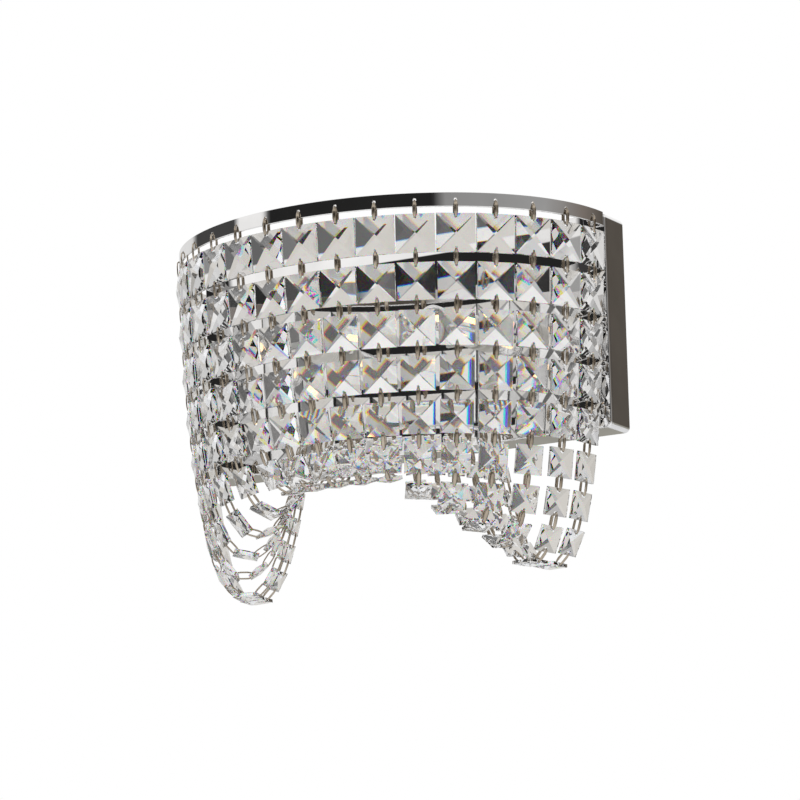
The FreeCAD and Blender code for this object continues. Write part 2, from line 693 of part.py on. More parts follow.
def frame_at(middle, across, out, down):
    """The placement that turns a piece's X, Y and Z to across, out and up the strand."""
    matrix = FreeCAD.Matrix(across.x, out.x, -down.x, middle.x,
                            across.y, out.y, -down.y, middle.y,
                            across.z, out.z, -down.z, middle.z, 0, 0, 0, 1)
    return FreeCAD.Placement(matrix)


wire = size("wire")
seat = wire / 2 + size("loop_clearance")


def hang_strand(number):
    """The stones and the loops of one strand, each in its place."""
    top, top_way = band_stations[number]
    end, end_way = rail_stations[number]
    inward = FreeCAD.Vector(end.x - top.x, end.y - top.y, 0)
    across_plan = inward.Length
    inward.normalize()
    widths = stone_sizes(number)
    rows = int(size("curtain_rows"))
    inset = size("hole_inset")
    for trial in range(3):
        places = hanging_chain(rods_of(widths), across_plan, end.z - top.z)
        for stone, (x, z) in enumerate(places[2::2]):
            if rows <= stone < len(widths):
                narrow = band_pitch + (rail_pitch - band_pitch) * x / across_plan
                widths[stone] = min(widths[stone], narrow - size("swing_room"))
    joints = [top + inward * x + Z_AXIS * z for x, z in places]
    stones, loops = [], []
    for index, (start, finish) in enumerate(zip(joints, joints[1:])):
        down = (finish - start).normalize()
        travelled = (start - top).dot(inward) / across_plan
        across = top_way * (1 - travelled) + end_way * travelled
        across = (across - down * across.dot(down)).normalize()
        out = across.cross(down)
        stone = index // 2
        if index % 2:
            piece = crystal(widths[stone], stone < rows)
            piece.Placement = frame_at((start + finish) / 2, across, out, down)
            stones.append(piece)
            continue
        before_pierced = stone <= rows
        after_pierced = stone < rows
        if not before_pierced:
            start = start + down * (inset + seat)
        if not after_pierced:
            finish = finish - down * (inset + seat if stone < len(widths) else 0)
        if stone == len(widths):
            finish = finish + down * (size("rail_radius") + seat)
        width = size("loop_width") if after_pierced else size("small_loop_width")
        width = size("loop_width") if stone in (rows, len(widths)) else width
        piece = loop((finish - start).Length + wire, width)
        piece.Placement = frame_at((start + finish) / 2, across, out, down)
        loops.append(piece)
    return stones, loops


for number in range(int(size("strand_count"))):
    for kind, pieces in zip(("crystals", "loops"), hang_strand(number)):
        label = "strand_%02d_%s" % (number + 1, kind)
        item = doc.addObject("Part::Feature", label + "_pieces")
        item.Shape = Part.makeCompound(pieces)
        keep(item, label)


doc.recompute()
for item in doc.Objects:
    if "Invalid" in item.State or "Error" in item.State:
        raise RuntimeError("%s failed: %s" % (item.Label, item.State))
for item in parts:
    if item.Shape.isNull() or not item.Shape.isValid():
        raise RuntimeError("%s has no valid shape" % item.Label)
os.makedirs("parts", exist_ok=True)
for item in parts:
    item.Shape.exportStep("parts/%s.step" % item.Label)
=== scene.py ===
import bpy
import bmesh
import json
import math
import numpy as np
from mathutils import Matrix, Vector

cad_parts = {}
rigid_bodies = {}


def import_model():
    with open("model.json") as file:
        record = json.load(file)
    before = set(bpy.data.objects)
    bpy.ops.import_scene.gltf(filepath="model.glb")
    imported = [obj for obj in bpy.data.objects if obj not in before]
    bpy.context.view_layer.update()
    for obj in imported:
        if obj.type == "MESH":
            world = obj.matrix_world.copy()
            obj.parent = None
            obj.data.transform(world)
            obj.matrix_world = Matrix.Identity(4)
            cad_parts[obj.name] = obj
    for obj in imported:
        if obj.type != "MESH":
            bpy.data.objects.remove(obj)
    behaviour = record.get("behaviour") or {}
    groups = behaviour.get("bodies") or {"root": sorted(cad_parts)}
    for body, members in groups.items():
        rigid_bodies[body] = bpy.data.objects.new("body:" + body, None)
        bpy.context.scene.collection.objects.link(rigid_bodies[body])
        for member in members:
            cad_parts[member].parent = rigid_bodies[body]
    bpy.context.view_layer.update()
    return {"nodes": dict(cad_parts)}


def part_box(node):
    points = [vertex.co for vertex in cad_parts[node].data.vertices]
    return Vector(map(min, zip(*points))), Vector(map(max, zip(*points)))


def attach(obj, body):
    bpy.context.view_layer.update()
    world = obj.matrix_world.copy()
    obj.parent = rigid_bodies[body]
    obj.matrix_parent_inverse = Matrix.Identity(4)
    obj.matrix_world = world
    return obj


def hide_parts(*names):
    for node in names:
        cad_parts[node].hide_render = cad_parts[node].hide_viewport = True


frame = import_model()
scene = bpy.context.scene
scene.view_settings.view_transform = "Standard"


# The studio. A camera a little below the sconce and to its right, as in the photograph, a pale
# floor well below, two soft panels, and a white backdrop that is part of the surroundings.

def camera_at(azimuth, elevation, roll, target, distance):
    """The camera's matrix: it looks along the azimuth and elevation at the target."""
    turn, rise, lean = (math.radians(angle) for angle in (azimuth, elevation, roll))
    look = Vector((-math.sin(turn) * math.cos(rise), math.cos(turn) * math.cos(rise),
                   math.sin(rise)))
    right = look.cross(Vector((0, 0, 1))).normalized()
    up = right.cross(look)
    right, up = (right * math.cos(lean) + up * math.sin(lean),
                 up * math.cos(lean) - right * math.sin(lean))
    place = Vector(target) - look * distance
    return Matrix(((right.x, up.x, -look.x, place.x), (right.y, up.y, -look.y, place.y),
                   (right.z, up.z, -look.z, place.z), (0, 0, 0, 1)))


camera = bpy.data.objects.new("studio_camera", bpy.data.cameras.new("studio_camera"))
scene.collection.objects.link(camera)
FILM, PICTURE, FOCAL = 36, 800, 4433.94    # the film in mm, the picture and the lens in pixels
camera.data.sensor_width = FILM
camera.data.lens = FILM * FOCAL / PICTURE
camera.data.clip_end = 20
camera.matrix_world = camera_at(azimuth=29.44, elevation=12.03, roll=-1.45,
                                target=(0.03204, -0.08295, -0.04402), distance=2.4379)
scene.camera = camera


class Nodes:
    """A material, a world or a group, and a short way to add and link its nodes."""

    def __init__(self, tree):
        self.tree = tree
        tree.nodes.clear()

    def add(self, kind, inputs=None, **settings):
        """A node with its settings, each input linked from a socket or given a value."""
        node = self.tree.nodes.new(kind)
        for name, value in settings.items():
            setattr(node, name, value)
        for name, value in (inputs or {}).items():
            if isinstance(value, bpy.types.NodeSocket):
                self.tree.links.new(value, node.inputs[name])
            else:
                node.inputs[name].default_value = value
        return node

    def math(self, operation, *values, clamp=False):
        node = self.add("ShaderNodeMath", dict(enumerate(values)), operation=operation)
        node.use_clamp = clamp
        return node.outputs[0]

    def ramp(self, factor, stops):
        """A ramp through (place, colour or grey) stops."""
        node = self.add("ShaderNodeValToRGB", {"Fac": factor})
        elements = node.color_ramp.elements
        while len(elements) < len(stops):
            elements.new(0.5)
        for element, (place, colour) in zip(elements, stops):
            element.position = place
            element.color = (*colour, 1) if isinstance(colour, tuple) else (colour,) * 3 + (1,)
        return node.outputs["Color"]


def surroundings():
    """What is round the object: even soft light for plain surfaces, a room with a white backdrop,
    a bright panel, a grey side and dark ends for metal, and a paler such room for glass."""
    world = bpy.data.worlds.new("studio")
    scene.world = world
    world.use_nodes = True
    n = Nodes(world.node_tree)
    way = n.add("ShaderNodeSeparateXYZ",
                {0: n.add("ShaderNodeTexCoord").outputs["Generated"]})
    round_about = n.math("ARCTAN2", way.outputs["Y"], way.outputs["X"])
    turn = n.math("MULTIPLY_ADD", round_about, 0.5 / math.pi, 0.5)
    rise = n.math("MULTIPLY_ADD", way.outputs["Z"], 0.5, 0.5)
    near_floor = n.ramp(rise, [(0.47, 1.0), (0.53, 0.0)])

    def at(degrees):
        """The place on a ramp of a way in plan: 0 is the right, 90 the wall, -90 the room."""
        return (degrees + 180) / 360

    def studio(sides, above, below):
        """The walls by the way round, the ceiling laid over them, and the floor below both."""
        walls = n.add("ShaderNodeMix", {"Factor": 1.0, "A": n.ramp(turn, sides),
                                        "B": n.ramp(rise, above)},
                      data_type="RGBA", blend_type="LIGHTEN").outputs["Result"]
        return n.add("ShaderNodeMix", {"Factor": near_floor, "A": walls,
                                       "B": n.ramp(turn, below)},
                     data_type="RGBA").outputs["Result"]

    metal_view = studio(
        [(0.0, 0.06), (at(-157), 0.06), (at(-154), 1.0), (at(-140), 1.0), (at(-136), 0.02),
         (at(-58), 0.02), (at(-52), 0.30), (at(5), 0.36), (at(38), (0.22, 0.19, 0.17)),
         (at(62), (0.10, 0.088, 0.075)), (at(84), (0.10, 0.088, 0.075)), (at(94), 0.78),
         (at(163), 0.78), (at(170), 0.06)],
        [(0.0, 0.0), (0.655, 0.0), (0.705, 1.0), (0.8, 1.0), (0.9, 0.55), (1.0, 0.5)],
        [(0.0, 0.5), (at(-150), 0.85), (at(10), 0.8), (at(60), (0.34, 0.33, 0.295)),
         (at(165), (0.34, 0.33, 0.295))])
    paper = (0.64, 0.615, 0.575)
    glass_view = studio(
        [(0.0, 0.6), (at(-157), 0.6), (at(-150), 1.0), (at(-138), 1.0), (at(-129), 0.5),
         (at(-121), 0.12), (at(-104), 0.08), (at(-97), 0.9), (at(-90), 0.9), (at(-84), 0.12),
         (at(-60), 0.12), (at(-40), 0.5), (at(10), 0.4), (at(50), 0.13), (at(107), 0.13),
         (at(113), paper), (at(160), paper)],
        [(0.0, 0.0), (0.66, 0.0), (0.76, 0.58), (1.0, 0.66)],
        [(0.0, 0.6), (at(-150), (0.72, 0.7, 0.66)), (at(10), (0.7, 0.68, 0.64)),
         (at(60), (0.56, 0.54, 0.5)), (at(165), (0.56, 0.54, 0.5))])
    path = n.add("ShaderNodeLightPath").outputs
    light = (0.85, 0.86, 0.88, 1)
    for ray, look in ((path["Is Glossy Ray"], metal_view),
                      (path["Is Transmission Ray"], glass_view),
                      (path["Is Camera Ray"], (1, 1, 1, 1))):
        light = n.add("ShaderNodeMix", {"Factor": ray, "A": light, "B": look},
                      data_type="RGBA").outputs["Result"]
    background = n.add("ShaderNodeBackground", {"Color": light, "Strength": 1.0})
    n.add("ShaderNodeOutputWorld", {"Surface": background.outputs[0]})


surroundings()


def new_material(name):
    material = bpy.data.materials.new(name)
    material.use_nodes = True
    return material, Nodes(material.node_tree)


def mesh_object(name, mesh):
    item = bpy.data.objects.new(name, mesh)
    scene.collection.objects.link(item)
    return item


FLOOR_HALF, FLOOR_LEVEL = 3.2, -0.95
floor_mesh = bpy.data.meshes.new("studio_floor")
floor_mesh.from_pydata([(a * FLOOR_HALF, b * FLOOR_HALF, FLOOR_LEVEL)
                        for a, b in ((-1, -1), (1, -1), (1, 1), (-1, 1))], [], [(0, 1, 2, 3)])
floor = mesh_object("studio_floor", floor_mesh)
floor_paint, n = new_material("floor_paint")
speckle = n.add("ShaderNodeTexNoise", {"Scale": 30.0, "Detail": 4.0})
tone = n.ramp(speckle.outputs["Fac"], [(0.3, 0.80), (0.7, 0.84)])
paint = n.add("ShaderNodeBsdfPrincipled", {"Base Color": tone, "Roughness": 0.8})
n.add("ShaderNodeOutputMaterial", {"Surface": paint.outputs[0]})
floor_mesh.materials.append(floor_paint)

for name, place, size, power in (("key_panel", (-1.2, -1.6, 1.3), 1.0, 26),
                                 ("fill_panel", (1.6, -1.2, 0.5), 0.9, 11)):
    lamp = bpy.data.lights.new(name, "AREA")
    lamp.size = size
    lamp.energy = power
    panel = bpy.data.objects.new(name, lamp)
    towards = Vector((0, -0.07, 0)) - Vector(place)
    panel.matrix_world = Matrix.Translation(place) @ towards.to_track_quat(
        "-Z", "Y").to_matrix().to_4x4()
    panel.visible_glossy = panel.visible_transmission = False
    scene.collection.objects.link(panel)


# Back box. A shallow tray of sheet steel, folded and chromed all over, open towards the wall. Its
# front plate is a lid whose edge shows as two fine lines along the sides, and whose top margin is
# rolled back a little, so that it mirrors the bright room above.

def new_group(name, inputs, outputs):
    tree = bpy.data.node_groups.new(name, "ShaderNodeTree")
    for direction, sockets in (("INPUT", inputs), ("OUTPUT", outputs)):
        for label, kind, value in sockets:
            socket = tree.interface.new_socket(label, in_out=direction,
                                               socket_type="NodeSocket" + kind)
            if value is not None:
                socket.default_value = value
    return tree


def handling_marks():
    """Faint smears and hairlines that a polished surface picks up: a roughness and a height."""
    tree = new_group("handling_marks", [("Polish", "Float", 0.03), ("Smear", "Float", 0.05),
                                        ("Grain", "Float", 60.0)],
                     [("Roughness", "Float", None), ("Height", "Float", None)])
    n = Nodes(tree)
    given = n.add("NodeGroupInput").outputs
    where = n.add("ShaderNodeTexCoord").outputs["Object"]
    smear = n.add("ShaderNodeTexNoise", {"Vector": where, "Scale": given["Grain"],
                                         "Detail": 3.0, "Distortion": 0.6})
    fine = n.add("ShaderNodeTexNoise", {"Vector": where, "Scale": 900.0, "Detail": 2.0})
    patch = n.math("POWER", smear.outputs["Fac"], 3.0)
    rough = n.math("MULTIPLY_ADD", patch, given["Smear"], given["Polish"])
    height = n.math("MULTIPLY_ADD", fine.outputs["Fac"], 0.3, smear.outputs["Fac"])
    n.add("NodeGroupOutput", {"Roughness": rough, "Height": height})
    return tree


HANDLING = handling_marks()


def metal(name, colour, polish, smear, grain=60.0, bump=0.0, tint=None):
    """A plated or plain metal: its colour drifts a little, and its polish has smears."""
    material, n = new_material(name)
    marks = n.add("ShaderNodeGroup", node_tree=HANDLING)
    marks.inputs["Polish"].default_value = polish
    marks.inputs["Smear"].default_value = smear
    marks.inputs["Grain"].default_value = grain
    drift = n.add("ShaderNodeTexNoise", {
        "Vector": n.add("ShaderNodeTexCoord").outputs["Object"], "Scale": 45.0, "Detail": 3.0})
    shade = tuple(part * 0.9 for part in colour) if tint is None else tint
    tone = n.ramp(drift.outputs["Fac"], [(0.35, shade), (0.65, colour)])
    surface = n.add("ShaderNodeBsdfPrincipled", {
        "Base Color": tone, "Metallic": 1.0, "Roughness": marks.outputs["Roughness"]})
    if bump:
        relief = n.add("ShaderNodeBump", {"Strength": bump, "Distance": 0.0002,
                                          "Height": marks.outputs["Height"]})
        n.tree.links.new(relief.outputs[0], surface.inputs["Normal"])
    n.add("ShaderNodeOutputMaterial", {"Surface": surface.outputs[0]})
    return material


CHROME = metal("mirror_chrome", (0.88, 0.87, 0.86), 0.015, 0.03)
box_low, box_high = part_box("back_box")
BOX_FRONT, BOX_TOP = box_low.y, box_high.z
BOX_WALL, BOX_CORNER = 0.0012, 0.003
BOX_DEPTH, LIP = 0.022, 0.0197                             # the lip line, from the wall
MARGIN, MARGIN_LEAN, MARGIN_EASE = 0.0092, 0.135, 0.0012   # the rolled top margin
MARGIN_END, MARGIN_FADE = 0.1175, 0.0065                   # where it dies out at each side
DRILL_LENGTH = 0.008


def smooth_but_sharp(mesh, degrees):
    """Soft shading, with the edges that turn by more than this many degrees kept sharp."""
    for face in mesh.polygons:
        face.use_smooth = True
    mesh.set_sharp_from_angle(angle=math.radians(degrees))


def rounded_outline(inset, steps=8):
    """The box's outline seen from the room, this far inside its edge."""
    radius = max(BOX_CORNER - inset, 0.0004)
    reach_x, reach_z = box_high.x - inset - radius, BOX_TOP - inset - radius
    points = []
    for quarter, (a, b) in enumerate(((1, 1), (-1, 1), (-1, -1), (1, -1))):
        for step in range(steps + 1):
            turn = math.pi / 2 * (quarter + step / steps)
            points.append((a * reach_x + radius * math.cos(turn),
                           b * reach_z + radius * math.sin(turn)))
    return points


def loft(rings):
    """A closed skin through rings of as many points each, capped at both ends."""
    form = bmesh.new()
    rows = [[form.verts.new(point) for point in ring] for ring in rings]
    count = len(rows[0])
    for one, two in zip(rows, rows[1:]):
        for step in range(count):
            after = (step + 1) % count
            form.faces.new((one[step], one[after], two[after], two[step]))
    form.faces.new(rows[0][::-1])
    form.faces.new(rows[-1])
    bmesh.ops.recalc_face_normals(form, faces=form.faces)
    return form


def mesh_of(form, name):
    """A plain mesh from a form, which is then let go."""
    mesh = bpy.data.meshes.new(name)
    form.to_mesh(mesh)
    form.free()
    return mesh


def finished(form, name, material, sharp=None):
    """A piece from a form, in its material; edges sharper than given stay crisp."""
    mesh = mesh_of(form, name)
    mesh.materials.append(material)
    if sharp is not None:
        smooth_but_sharp(mesh, sharp)
    return mesh_object(name, mesh)


def back_box():
    """The tray: its skin goes from inside the front plate back over the rim, then forward along
    the outside past the lip lines and round the bevel, each as (inset, depth)."""
    rings = [(0.0017, 0.0208), (BOX_WALL, 0.0203), (BOX_WALL, 0), (0, 0), (0, LIP),
             (0.00025, LIP + 0.0001), (0.00025, LIP + 0.0004), (0, LIP + 0.0005),
             (0, 0.0213), (0.0001, 0.02165), (0.00035, 0.0219), (0.0007, BOX_DEPTH)]
    form = loft([[(x, -depth, z) for x, z in rounded_outline(inset)] for inset, depth in rings])
    onset = BOX_TOP - MARGIN    # the front plate is cut into rows and columns to bend it from here
    cuts = [((0, 0, onset + height), (0, 0, 1))
            for height in (-0.0012, -0.0006, 0, 0.0003, 0.0006, 0.0009, 0.0012, 0.005)]
    cuts += [((across, 0, 0), (1, 0, 0))
             for across in (-0.1175, -0.116, -0.113, -0.111, 0.111, 0.113, 0.116, 0.1175)]
    for place, way in cuts:
        bmesh.ops.bisect_plane(form, geom=form.verts[:] + form.edges[:] + form.faces[:],
                               plane_co=place, plane_no=way)
    behind_plate = 0.02025
    for vert in form.verts:
        if vert.co.y < -behind_plate and vert.co.z > onset:
            rise = vert.co.z - onset
            lean = MARGIN_LEAN * (rise * rise / (2 * MARGIN_EASE) if rise < MARGIN_EASE
                                  else rise - MARGIN_EASE / 2)
            share = min(max((MARGIN_END - abs(vert.co.x)) / MARGIN_FADE, 0), 1)
            vert.co.y += lean * share * share * (3 - 2 * share)
    return form


def shaped(item):
    """The plain mesh that a piece's modifiers make of it."""
    bpy.context.view_layer.update()
    return bpy.data.meshes.new_from_object(item.evaluated_get(
        bpy.context.evaluated_depsgraph_get()))


def drill(item, tools):
    """Cut the tools out of a piece, which is a plain mesh again afterwards."""
    cutter = mesh_object("cutter", tools)
    work = item.modifiers.new("drill", "BOOLEAN")
    work.operation, work.solver, work.object = "DIFFERENCE", "EXACT", cutter
    made = shaped(item)
    item.modifiers.remove(work)
    item.data = made
    bpy.data.objects.remove(cutter)


def round_tools(places):
    """Round bars to drill with: the middle, the way and the radius of each."""
    form = bmesh.new()
    for middle, way, radius in places:
        turn = Vector(way).to_track_quat("Z", "Y").to_matrix().to_4x4()
        bmesh.ops.create_cone(form, cap_ends=True, segments=24, radius1=radius,
                              radius2=radius, depth=DRILL_LENGTH,
                              matrix=Matrix.Translation(middle) @ turn)
    return mesh_of(form, "tools")


LAMP_OUT, LAMP_LEVEL, SADDLE_REACH = 0.046, 0.004, 0.013
RAIL_HALF, RAIL_LEVEL = 0.062, -0.056
BAND_SHEET, SADDLE_SHEET = 0.0012, 0.0012
BAND_SCREWS = [(side * 0.1239, BOX_FRONT - BAND_SHEET, 0.05675) for side in (-1, 1)]
SADDLE_SCREWS = [(lamp * LAMP_OUT + way * SADDLE_REACH, BOX_FRONT - SADDLE_SHEET, LAMP_LEVEL)
                 for lamp in (-1, 1) for way in (-1, 1)]
BOX_SCREWS = [(0, -0.006, side * 0.06075) for side in (1, -1)]
SCREW_HOLE, RAIL_HOLE, LEAD_HOLE = 0.0017, 0.00135, 0.0018
along, upright = (0, 1, 0), (0, 0, 1)
bores = [((x, BOX_FRONT, z), along, SCREW_HOLE) for x, _, z in BAND_SCREWS + SADDLE_SCREWS]
bores += [((side * RAIL_HALF, BOX_FRONT, RAIL_LEVEL), along, RAIL_HOLE) for side in (-1, 1)]
bores += [((side * LAMP_OUT, BOX_FRONT, LAMP_LEVEL), along, LEAD_HOLE) for side in (-1, 1)]
bores += [(place, upright, SCREW_HOLE) for place in BOX_SCREWS]
box = finished(back_box(), "chromed_box", CHROME)
drill(box, round_tools(bores))
smooth_but_sharp(box.data, 14)
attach(box, "fixture")
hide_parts("back_box")


# Wall bracket. A plate of zinc-plated steel with an ear bent forward at its top and bottom, two
# slots for wall screws and a round inlet; the box slides over it and is screwed to the ears.

def dress(node, material):
    """Give a CAD solid that stays its finish."""
    slots = frame["nodes"][node].data.materials
    slots.clear()
    slots.append(material)


ZINC = metal("zinc_plate", (0.62, 0.62, 0.6), 0.28, 0.3, grain=140.0, bump=0.3)
dress("wall_bracket", ZINC)
for side in ("left", "right"):
    dress("lamp_saddle_" + side, ZINC)


# Curtain band. A strip of polished steel on edge, rolled to half an ellipse, with a drilled hole
# for each strand, and a tab folded in at each end that is screwed to the box's front plate.

band_low, band_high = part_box("curtain_band")
TAB, FOLD, BAND_HOLE = 0.011, 0.0014, 0.0009    # a tab, the fold's and the holes' radius
LOOP_WIRE = 0.0009                              # the wire of the CAD loops
STRANDS = range(1, 18)


def band_path():
    """The strip's outer side seen from above, from one tab's end to the other's, closely."""
    half, deep = band_high.x, BOX_FRONT - band_low.y
    start = math.asin(FOLD / deep)
    turns = np.linspace(math.pi - start, start, 6000)
    bow = np.stack([half * np.cos(turns), BOX_FRONT - deep * np.sin(turns)], 1)
    edge = bow[-1, 0] - FOLD
    bend = np.linspace(0, math.pi / 2, 60)[1:]
    fold = np.stack([edge + FOLD * np.cos(bend), BOX_FRONT - FOLD + FOLD * np.sin(bend)], 1)
    inwards = np.linspace(edge, edge - TAB, 60)[1:]
    right = np.concatenate([fold, np.stack([inwards, np.full_like(inwards, BOX_FRONT)], 1)])
    left = right[::-1] * (-1, 1)
    return np.concatenate([left, bow, right])


def band_hole(number):
    """Where the top bar of a strand's first wire link lies, which is in its hole."""
    spots = np.array([vert.co for vert in
                      frame["nodes"]["strand_%02d_loops" % number].data.vertices])
    top = spots[:, 2].max()
    return spots[spots[:, 2] > top - LOOP_WIRE][:, :2].mean(0), top - LOOP_WIRE / 2


def band_sheet():
    """The band's outer skin: a grid along its path, with a round hole for each strand."""
    path = band_path()
    run = np.concatenate([[0], np.cumsum(np.linalg.norm(np.diff(path, axis=0), axis=1))])
    holes = []
    for number in STRANDS:
        place, height = band_hole(number)
        holes.append(run[np.linalg.norm(path - place, axis=1).argmin()])
    reach = 0.0016
    bend_end = TAB + FOLD * math.pi / 2
    ends = np.concatenate([np.linspace(0, TAB, 4)[:-1], np.linspace(TAB, bend_end, 9)])
    spread = np.linspace(bend_end, run[-1] - bend_end, 150)[1:-1]
    spread = [spot for spot in spread if min(abs(spot - hole) for hole in holes) > reach + 0.0004]
    columns = sorted(list(ends) + list(run[-1] - ends) + spread
                     + [hole + reach * step / 2 for hole in holes for step in range(-2, 3)])
    rows = [band_low.z] + [height + reach * step / 2 for step in range(-2, 3)] + [band_high.z]
    form = bmesh.new()

    def on_band(along_path, z):
        return form.verts.new((np.interp(along_path, run, path[:, 0]),
                               np.interp(along_path, run, path[:, 1]), z))

    grid = [[on_band(column, row) for row in rows] for column in columns]
    starts = {min(range(len(columns)), key=lambda one: abs(columns[one] - hole + reach)): hole
              for hole in holes}
    skipped = {(one + a, 1 + b) for one in starts for a in range(4) for b in range(4)}
    for one in range(len(columns) - 1):
        for two in range(len(rows) - 1):
            if (one, two) not in skipped:
                form.faces.new((grid[one][two], grid[one + 1][two],
                                grid[one + 1][two + 1], grid[one][two + 1]))
    around = ([(a, 0) for a in range(4)] + [(4, b) for b in range(4)]
              + [(a, 4) for a in range(4, 0, -1)] + [(0, b) for b in range(4, 0, -1)])
    for one, hole in starts.items():
        rim = [grid[one + a][1 + b] for a, b in around]
        ring = [on_band(hole + BAND_HOLE * math.cos(turn), height + BAND_HOLE * math.sin(turn))
                for turn in (math.atan2(b - 2, a - 2) for a, b in around)]
        for step in range(len(rim)):
            after = (step + 1) % len(rim)
            form.faces.new((rim[step], rim[after], ring[after], ring[step]))
    for vert in [vert for vert in form.verts if not vert.link_faces]:
        form.verts.remove(vert)
    bmesh.ops.recalc_face_normals(form, faces=form.faces)
    outward = max(form.faces, key=lambda face: -face.calc_center_median().y)
    if outward.normal.y > 0:
        bmesh.ops.reverse_faces(form, faces=form.faces)
    return form


def write_in_order(form, mesh):
    """Write a form to a mesh with its points and faces in one order on every run, which the
    bevel doesn't keep."""
    verts = sorted(form.verts, key=lambda vert: tuple(vert.co))
    number = {vert: index for index, vert in enumerate(verts)}
    faces = sorted(([number[vert] for vert in face.verts] for face in form.faces), key=sorted)
    mesh.clear_geometry()
    mesh.from_pydata([vert.co for vert in verts], [], faces)
    form.free()


band = finished(band_sheet(), "polished_band", CHROME)
wall = band.modifiers.new("sheet", "SOLIDIFY")
wall.thickness, wall.offset, wall.use_even_offset = BAND_SHEET, -1, True
form = bmesh.new()
form.from_mesh(shaped(band))
band.modifiers.remove(wall)
for easing, at_foot in ((0.00045, True), (0.00012, False)):    # the lower edge is rounder
    edges = [edge for edge in form.edges
             if edge.is_manifold and edge.calc_face_angle() > math.radians(60)
             and (max(vert.co.z for vert in edge.verts) < band_low.z + 1e-6) == at_foot]
    bmesh.ops.bevel(form, geom=edges, offset=easing, segments=3, profile=0.5, affect="EDGES")
write_in_order(form, band.data)
smooth_but_sharp(band.data, 13)
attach(band, "fixture")
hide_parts("curtain_band")


# Inner rail. A chromed rod bent to a smaller half ellipse, level with the bottom of the box; its
# ends go through the front plate and are nutted behind it, and the swags' last links hang on it.

def tube(points, radius, sides=12):
    """A round bar along a smooth line of points, its ends slightly eased."""
    points = [Vector(point) for point in points]
    ways = [(two - one).normalized() for one, two in zip(points, points[1:])]
    ways = [ways[0]] + [(a + b).normalized() for a, b in zip(ways, ways[1:])] + [ways[-1]]
    side = ways[0].orthogonal().normalized()
    rings = []
    last = len(points) - 1
    for index, (point, way) in enumerate(zip(points, ways)):
        side = (side - way * side.dot(way)).normalized()
        up = way.cross(side)
        ring = [side * math.cos(math.tau * step / sides) + up * math.sin(math.tau * step / sides)
                for step in range(sides)]
        if index == 0:
            rings.append([point + spoke * radius * 0.7 for spoke in ring])
            rings.append([point + way * radius * 0.3 + spoke * radius for spoke in ring])
        elif index == last:
            rings.append([point - way * radius * 0.3 + spoke * radius for spoke in ring])
            rings.append([point + spoke * radius * 0.7 for spoke in ring])
        else:
            rings.append([point + spoke * radius for spoke in ring])
    return loft(rings)


RAIL_DEEP, RAIL_RADIUS, RAIL_STEPS = 0.050, 0.00115, 64
turns = [math.pi * (1 - step / RAIL_STEPS) for step in range(RAIL_STEPS + 1)]
bow = [(RAIL_HALF * math.cos(turn), BOX_FRONT - RAIL_DEEP * math.sin(turn), RAIL_LEVEL)
       for turn in turns]
stub_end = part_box("inner_rail")[1].y
rail_line = [(-RAIL_HALF, stub_end, RAIL_LEVEL)] + bow + [(RAIL_HALF, stub_end, RAIL_LEVEL)]
rail = finished(tube(rail_line, RAIL_RADIUS), "bent_rail", CHROME, 40)
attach(rail, "fixture")
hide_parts("inner_rail")


# Screws and nuts. Plated pan-head screws with a driving slot hold the band's tabs, the lamp
# saddles and the box itself; hexagon nuts hold the rail. One screw shape is set at every screw's
# point.

def hanging_tree():
    """One shape from a collection at each point, turned and stretched by the point's own
    values, made real and given its material."""
    tree = bpy.data.node_groups.new("hang_on_points", "GeometryNodeTree")
    for label, direction, kind in (("Points", "INPUT", "Geometry"),
                                   ("Shapes", "INPUT", "Collection"),
                                   ("Finish", "INPUT", "Material"),
                                   ("Hung", "OUTPUT", "Geometry")):
        tree.interface.new_socket(label, in_out=direction, socket_type="NodeSocket" + kind)
    n = Nodes(tree)
    given = n.add("NodeGroupInput").outputs
    shapes = n.add("GeometryNodeCollectionInfo", {"Collection": given["Shapes"],
                                                  "Separate Children": True,
                                                  "Reset Children": True})
    pick = n.add("GeometryNodeInputNamedAttribute", {"Name": "pick"}, data_type="INT")
    turn = n.add("GeometryNodeInputNamedAttribute", {"Name": "turn"}, data_type="FLOAT_VECTOR")
    stretch = n.add("GeometryNodeInputNamedAttribute", {"Name": "stretch"},
                    data_type="FLOAT_VECTOR")
    angle = n.add("FunctionNodeEulerToRotation", {0: turn.outputs["Attribute"]})
    hung = n.add("GeometryNodeInstanceOnPoints", {
        "Points": given["Points"], "Instance": shapes.outputs[0], "Pick Instance": True,
        "Instance Index": pick.outputs["Attribute"], "Rotation": angle.outputs[0],
        "Scale": stretch.outputs["Attribute"]})
    real = n.add("GeometryNodeRealizeInstances", {"Geometry": hung.outputs[0]})
    done = n.add("GeometryNodeSetMaterial", {"Geometry": real.outputs[0],
                                             "Material": given["Finish"]})
    n.add("NodeGroupOutput", {"Hung": done.outputs[0]})
    return tree


HANG = hanging_tree()


def store_of(shapes):
    """A collection of shapes to hang, in the order of their names."""
    store = bpy.data.collections.new("shapes")
    scene.collection.children.link(store)
    for index, mesh in enumerate(shapes):
        store.objects.link(bpy.data.objects.new("shape_%03d" % index, mesh))
    return store


def empty_store(store):
    """Take a collection of shapes away when all are hung."""
    for item in list(store.objects):
        bpy.data.objects.remove(item)
    bpy.data.collections.remove(store)


